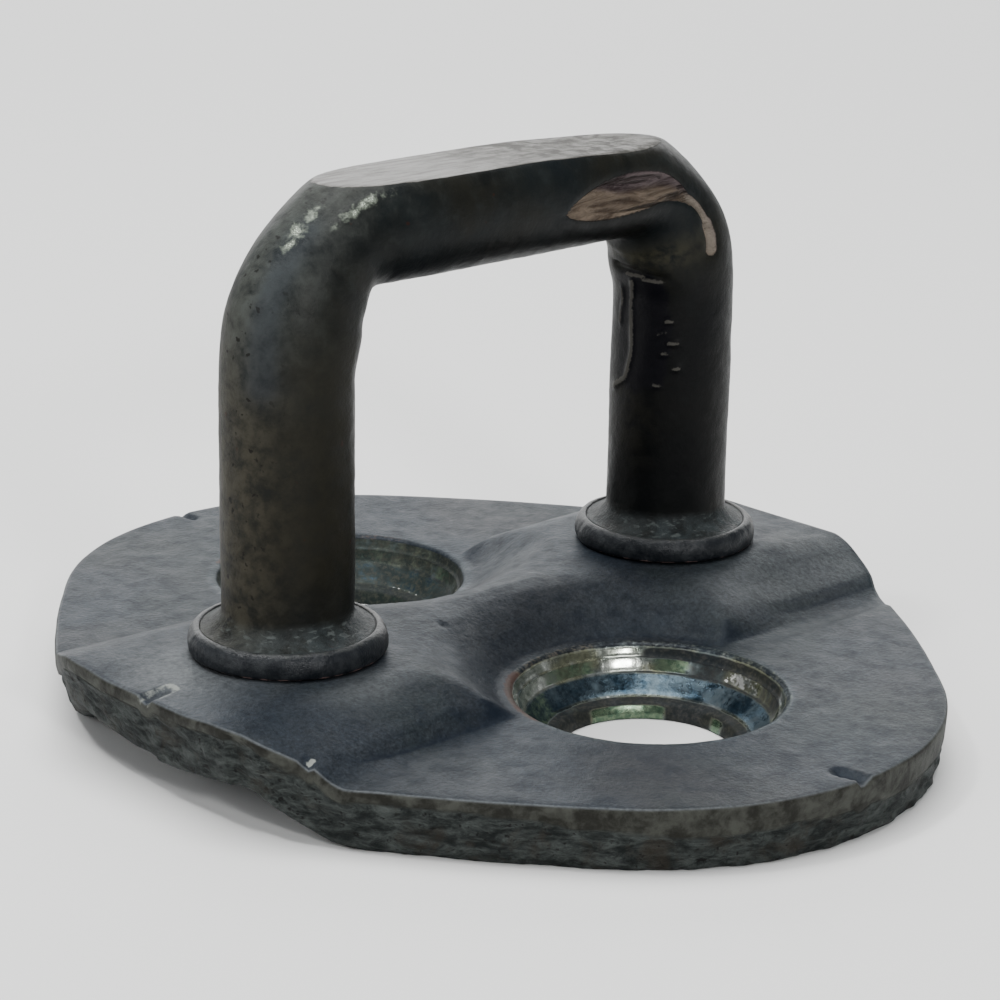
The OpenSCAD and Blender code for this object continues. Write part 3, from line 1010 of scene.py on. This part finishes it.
# The raised lines beside the bruise, each as a half width and then its route
LINES = (
    (0.22, (75.2, 178.0), (77.0, 183.0), (81.0, 180.0), (83.4, 186.0), (84.4, 204.0)),
    (0.1, (78.2, 143.0), (78.3, 135.0)),
    (0.12, (79.3, 150.0), (79.2, 141.0)),
    (0.11, (80.0, 139.0), (80.1, 130.0)),
    (0.1, (80.9, 146.0), (80.8, 137.0)),
    (0.12, (82.0, 136.0), (82.1, 129.0)),
    (0.1, (83.6, 152.0), (83.5, 143.0)),
    (0.16, (74.5, 184.0), (74.8, 162.0), (75.0, 146.0)),
    (0.12, (76.2, 196.0), (79.0, 199.0)),
)


def bar_fields(s, phi):
    """Shading fields of the bar at points s mm along it and phi degrees round it (90 faces -Y)."""
    neck = stroke(s, phi, [(66.8, 94.0), (68.2, 92.0), (70.2, 93.5)], 0.36)
    tail = stroke(s, phi, [(70.0, 93.5), (71.2, 94.5), (72.2, 97.0)], 0.62)
    from_foot = np.minimum(s, PATH_LENGTH - s)
    near_side = 0.35 + 0.65 * blot(s, phi, 0.0, 95.0, 500.0, 60.0)
    marks = {
        name: np.maximum.reduce([strength * blot(s, phi, *where) for strength, *where in patches])
        for name, patches in PATCHES.items()
    }
    # painted shade down the right leg, joined to the painted shade under the bridge
    right_leg = smoothstep(69.0, 78.0, s) * smoothstep(99.0, 92.0, s)
    marks["shade"] = np.maximum(right_leg, marks["shade"])
    return marks | {
        "bare": np.maximum.reduce([leaf(s, phi), neck, tail]),
        "upper": smoothstep(4.0, -4.0, phi - 92.0 - 3.0 * (s - 58.0) * (s < 58.0)),
        "line": np.maximum.reduce([stroke(s, phi, route, half) for half, *route in LINES]),
        # sheen: a painted blue reflected streak down the left leg into the bend
        "sheen": 0.7 * stroke(s, phi, [(30.0, 32.0), (26.0, 30.0), (21.5, 28.0)], 1.3),
        "brown": (1.0 - smoothstep(20.0, 30.0, s)) * smoothstep(2.0, 8.0, s),
        "fresh": np.maximum(tail, neck),
        "flare": smoothstep(3.6, 2.4, from_foot) * near_side,
    }


def bump_at(s, centre, half):
    return np.exp(-((s - centre) / half) ** 2)


def bending(s, phi):
    """The skin's thinning on the outside of both bends and its bulge on the inside, in mm."""
    turn = (phi + 180.0) % 360.0 - 180.0
    outside = 1.0 / (1.0 + (turn / 80.0) ** 4)
    inside = 1.0 / (1.0 + ((180.0 - np.abs(turn)) / 62.0) ** 4)
    thin = 1.2 * bump_at(s, 30.5, 5.5) + 1.4 * bump_at(s, 67.0, 5.0)
    left = smoothstep(20.5, 24.5, s) * smoothstep(33.0, 28.0, s)
    right = smoothstep(77.0, 73.6, s) * smoothstep(65.0, 70.0, s)
    bulge = 0.65 * (left + right)
    return thin * outside - bulge * inside


def dented(s, phi):
    """How far the bar's skin is pushed in, in mm, by its bending and its wear marks."""
    marks = bar_fields(s, phi)
    depth = bending(s, phi) + 0.3 * marks["bare"] + 0.22 * marks["bruise"] - 0.2 * marks["line"]
    depth += 0.34 * stroke(s, phi, [(74.0, 196.0), (74.2, 184.0), (74.4, 165.0), (74.7, 146.0)], 0.3)
    depth += 0.2 * blot(s, phi, 79.0, 195.0, 6.0, 34.0)
    return depth


def loop_stations():
    """Distances along the path, closer together on the fillets at both feet."""
    step = 0.3
    feet = np.array([0.0, 0.4, 0.9, 1.4, SEAM_HEIGHT])
    part = 1.0 - np.cos(np.linspace(0.12, 1.0, 9) * math.pi / 2)
    fillet = SEAM_HEIGHT + (FILLET_HEIGHT - SEAM_HEIGHT) * part
    middle = np.arange(FILLET_HEIGHT + step, PATH_LENGTH / 2, step)
    half = np.concatenate([feet, fillet, middle])
    return np.concatenate([half, (PATH_LENGTH - half)[::-1]])


def flat_limit(row):
    """The height of the pressed flat on top of the bridge, which droops towards its right end."""
    return LOOP_TOP - 0.06 - 0.34 * smoothstep(0.0, 14.0, row[:, 0]) + 0.02 * fractal(row, 0.35, 64, 3)


def soft_above(x, width):
    """x where it is positive and 0 where it is negative, with a rounded corner."""
    return np.where(x > width, x, np.where(x < -width, 0.0, (x + width) ** 2 / (4 * width)))


def build_loop():
    """The bar from foot to foot, with both tenons and a shading field for every wear mark and for the
    painted highlights, sheen and shade.
    """
    phi = np.arange(SIDES) * 360.0 / SIDES
    a = np.radians(phi)
    rows = []
    fields = {}
    for s in loop_stations():
        cx, cz, nx, nz = path_frame(s)
        height = min(s, PATH_LENGTH - s)
        radius = foot_radius(height)
        s_all = np.full(SIDES, s)
        out = np.cos(a)
        base = np.stack([cx + nx * out * radius, -np.sin(a) * radius, cz + nz * out * radius], 1)
        depth = dented(s_all, phi) - 0.05 * fractal(base, 0.22, 61, 3) - 0.02 * fractal(base, 1.1, 62, 3)
        foot = smoothstep(SEAM_HEIGHT, FILLET_HEIGHT, height)
        depth -= (1.0 - foot) * smoothstep(0.9, SEAM_HEIGHT, height) * 0.08 * fractal(base, 0.7, 63, 3)
        radius = radius - depth * (1.0 if height > 1.0 else 0.0)
        row = np.stack([cx + nx * out * radius, -np.sin(a) * radius, cz + nz * out * radius], 1)
        cut = row[:, 2] - flat_limit(row)
        width = 0.12 + 0.48 * float(smoothstep(5.0, 12.0, cx))
        row[:, 2] = flat_limit(row) - soft_above(-cut, width)
        rows.append(row)
        marks = bar_fields(s_all, phi)
        marks["worn"] = np.full(SIDES, float(smoothstep(-9.0, 6.0, cx)))
        marks["flat"] = smoothstep(-0.12, 0.06, cut) * float(1.0 - smoothstep(12.0, 19.0, cx))
        for name, values in marks.items():
            fields.setdefault(name, []).extend(values)
    points = [tuple(p) for row in rows for p in row]
    faces = []
    for r in range(len(rows) - 1):
        faces += ring_faces(r * SIDES, (r + 1) * SIDES, SIDES)
    for first, sign in ((0, -1.0), ((len(rows) - 1) * SIDES, 1.0)):
        add_tenon(points, faces, fields, first, sign)
    return make_piece("loop_bar", points, faces, bar_material(), fields)


def add_tenon(points, faces, fields, first, sign):
    """Closes a leg's foot with its shoulder's seat, its tenon and its staked head."""
    dish = 0.35
    shaft_r = TENON_R - 0.02
    seat = CHANNEL_DEPTH - 0.03
    section = [
        (SHOULDER_R - 0.6, BAND_TOP), (shaft_r, BAND_TOP), (shaft_r, CHANNEL_DEPTH + 1.6), (shaft_r, seat),
        (HEAD_R - 0.4, seat), (HEAD_R, CHANNEL_DEPTH - 0.35), (HEAD_R - 0.1, CHANNEL_DEPTH - 0.9),
        (HEAD_R - 0.55, CHANNEL_DEPTH - 1.5), (HEAD_R - 1.3, HEAD_BOTTOM + 0.25),
        (HEAD_R - 2.2, HEAD_BOTTOM + 0.02), (HEAD_R - 3.2, HEAD_BOTTOM + 0.1),
        (HEAD_R - 4.4, HEAD_BOTTOM + dish), (HEAD_R - 5.3, HEAD_BOTTOM + dish + 0.08),
    ]
    start = np.array(points[first:first + SIDES])
    centre = sign * LEG_X
    way = (start[:, :2] - (centre, 0.0)) / np.hypot(start[:, 0] - centre, start[:, 1])[:, None]
    above = list(range(first, first + SIDES))
    for r, z in section:
        ring = np.column_stack([centre + way[:, 0] * r, way[:, 1] * r, np.full(SIDES, z)])
        if z < CHANNEL_DEPTH - 0.2:
            ring[:, 2] += 0.05 * fractal(ring, 0.8, 71, 3)
            ring[:, 2] = np.maximum(ring[:, 2], HEAD_BOTTOM - 0.1)
        below = list(range(len(points), len(points) + SIDES))
        points.extend(map(tuple, ring))
        for name in fields:
            fields[name].extend([0.0] * SIDES)
        for i in range(SIDES):
            j = (i + 1) % SIDES
            face = (above[i], below[i], below[j], above[j])
            faces.append(face if sign < 0 else face[::-1])
        above = below
    last = len(points)
    points.append((centre, 0.0, HEAD_BOTTOM + dish + 0.1))
    for name in fields:
        fields[name].append(0.0)
    for i in range(SIDES):
        j = (i + 1) % SIDES
        face = (above[i], last, above[j])
        faces.append(face if sign < 0 else face[::-1])


# ---------------------------------------------------------------- collar rings

def ring_profile():
    """The ring's section as (radius, height, crown, foot), from its inner foot out, over and back in."""
    inner = SHOULDER_R + 0.02
    wide, tall = 0.78, 1.2
    rows = [
        (inner, 0.0, 0.0, 0.0), (RING_R - 0.5, 0.0, 0.0, 1.0), (RING_R - 0.24, 0.03, 0.0, 1.0),
        (RING_R - 0.1, 0.14, 0.0, 0.8), (RING_R - 0.03, 0.35, 0.05, 0.0),
        (RING_R, RING_HEIGHT - tall, 0.1, 0.0),
    ]
    for i in range(1, 10):
        a = math.pi / 2 * i / 9
        crown = math.sin(a) ** 2
        rows.append((RING_R - wide * (1 - math.cos(a)), RING_HEIGHT - tall * (1 - math.sin(a)), crown, 0.0))
    return rows + [
        (inner + 0.08, RING_HEIGHT - 0.03, 0.7, 0.0),
        (inner, RING_HEIGHT - 0.09, 0.2, 0.0),
        (inner, 0.9, 0.0, 0.0),
    ]


def build_ring(side, name, material, seed):
    """One collar ring, a little out of round, with its wear fields and a field of painted light."""
    count = 220
    section = ring_profile()
    points = []
    fields = {"crown": [], "foot": [], "right": []}
    for r, z, crown, foot in section:
        ring = circle(side * LEG_X, 0.0, r, count)
        spot = np.column_stack([ring, np.full(count, BAND_TOP + z)])
        way = (ring - (side * LEG_X, 0.0)) / r
        if z > 0.05 and r > SHOULDER_R + 0.12:
            push = 0.09 * fractal(spot, 0.35, seed, 3) + 0.04 * fractal(spot, 1.4, seed + 1, 3)
            push *= min((r - SHOULDER_R) / 0.5, 1.0)
            spot[:, :2] += way * np.minimum(push, 0.08)[:, None]
            spot[:, 2] += 0.05 * fractal(spot, 0.3, seed + 2, 2) * min(z, 1.0)
        points.extend(map(tuple, spot))
        fields["crown"].extend([crown] * count)
        fields["foot"].extend([foot] * count)
        # painted light: lighter towards +X and the back, the same on both rings
        fields["right"].extend(smoothstep(-0.2, 0.8, way[:, 0] * 0.9 + way[:, 1] * 0.45))
    faces = []
    for k in range(len(section)):
        faces += ring_faces(k * count, (k + 1) % len(section) * count, count)
    return make_piece(name, points, faces, material, fields)


# ---------------------------------------------------------------- studio

def add_area_light(name, place, target, size, power, color=(1.0, 1.0, 1.0)):
    data = bpy.data.lights.new(name, "AREA")
    data.shape = "RECTANGLE"
    data.size = size[0]
    data.size_y = size[1]
    data.energy = power
    data.color = color
    light = bpy.data.objects.new(name, data)
    light.location = place
    light.rotation_euler = (Vector(target) - Vector(place)).to_track_quat("-Z", "Y").to_euler()
    bpy.context.scene.collection.objects.link(light)


def build_studio():
    """The floor, the sky, three soft lights and two small ones that make the bright spots."""
    half = 1.2
    mesh = bpy.data.meshes.new("studio_floor")
    corners = [(-half, -half, 0), (half, -half, 0), (half, half, 0), (-half, half, 0)]
    mesh.from_pydata(corners, [], [(0, 1, 2, 3)])
    mesh.materials.append(floor_material())
    floor = bpy.data.objects.new("studio_floor", mesh)
    bpy.context.scene.collection.objects.link(floor)

    world = bpy.data.worlds.new("studio_sky")
    world.use_nodes = True
    sky = world.node_tree.nodes["Background"]
    sky.inputs["Color"].default_value = (0.92, 0.96, 1.0, 1.0)
    sky.inputs["Strength"].default_value = 0.3
    bpy.context.scene.world = world

    target = (0.0, 0.0, 0.015)
    add_area_light("softbox_top", (0.0, 0.05, 0.6), target, (0.5, 0.5), 6.0)
    add_area_light("softbox_far", (0.42, 0.5, 0.26), target, (0.9, 0.4), 4.0)
    add_area_light("softbox_left", (-0.5, 0.05, 0.25), target, (0.2, 0.3), 0.8)
    add_area_light("spark_bend", (-0.18, 0.1, 0.42), target, (0.04, 0.04), 0.6)
    add_area_light("spark_hole", (-0.157, -0.392, 0.213), target, (0.05, 0.05), 1.0)


def add_camera():
    """The camera of the reference view, placed from its bearing, height, roll, distance and aim."""
    bearing = math.radians(-43.774)
    rise = math.radians(17.475)
    roll = math.radians(0.974)
    distance = 231.5
    aim_right = 1.04
    aim_up = 6.99
    back = Vector((math.sin(bearing) * math.cos(rise), -math.cos(bearing) * math.cos(rise), math.sin(rise)))
    right = Vector((math.cos(bearing), math.sin(bearing), 0.0))
    up = back.cross(right)
    side = right * math.cos(roll) + up * math.sin(roll)
    head = up * math.cos(roll) - right * math.sin(roll)
    place = side * aim_right + head * aim_up + back * distance + Vector((0.0, 0.0, BAND_TOP))
    data = bpy.data.cameras.new("camera")
    data.sensor_width = 36.0
    data.lens = 104.47
    data.clip_start = 0.01
    camera = bpy.data.objects.new("camera", data)
    turn = Matrix((side, head, back)).transposed().to_4x4()
    camera.matrix_world = Matrix.Translation(place * MM) @ turn
    bpy.context.scene.collection.objects.link(camera)
    bpy.context.scene.camera = camera


def attach(piece, node):
    """Parents a piece to the root body and hides the CAD node that it stands for."""
    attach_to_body(piece, "root")
    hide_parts(node)


add_camera()
build_studio()
attach(build_plate(), "base_plate")
attach(build_loop(), "striker_loop")
RING_STEEL = ring_material()
attach(build_ring(-1, "left_collar", RING_STEEL, 81), "collar_ring_left")
attach(build_ring(1, "right_collar", RING_STEEL, 85), "collar_ring_right")
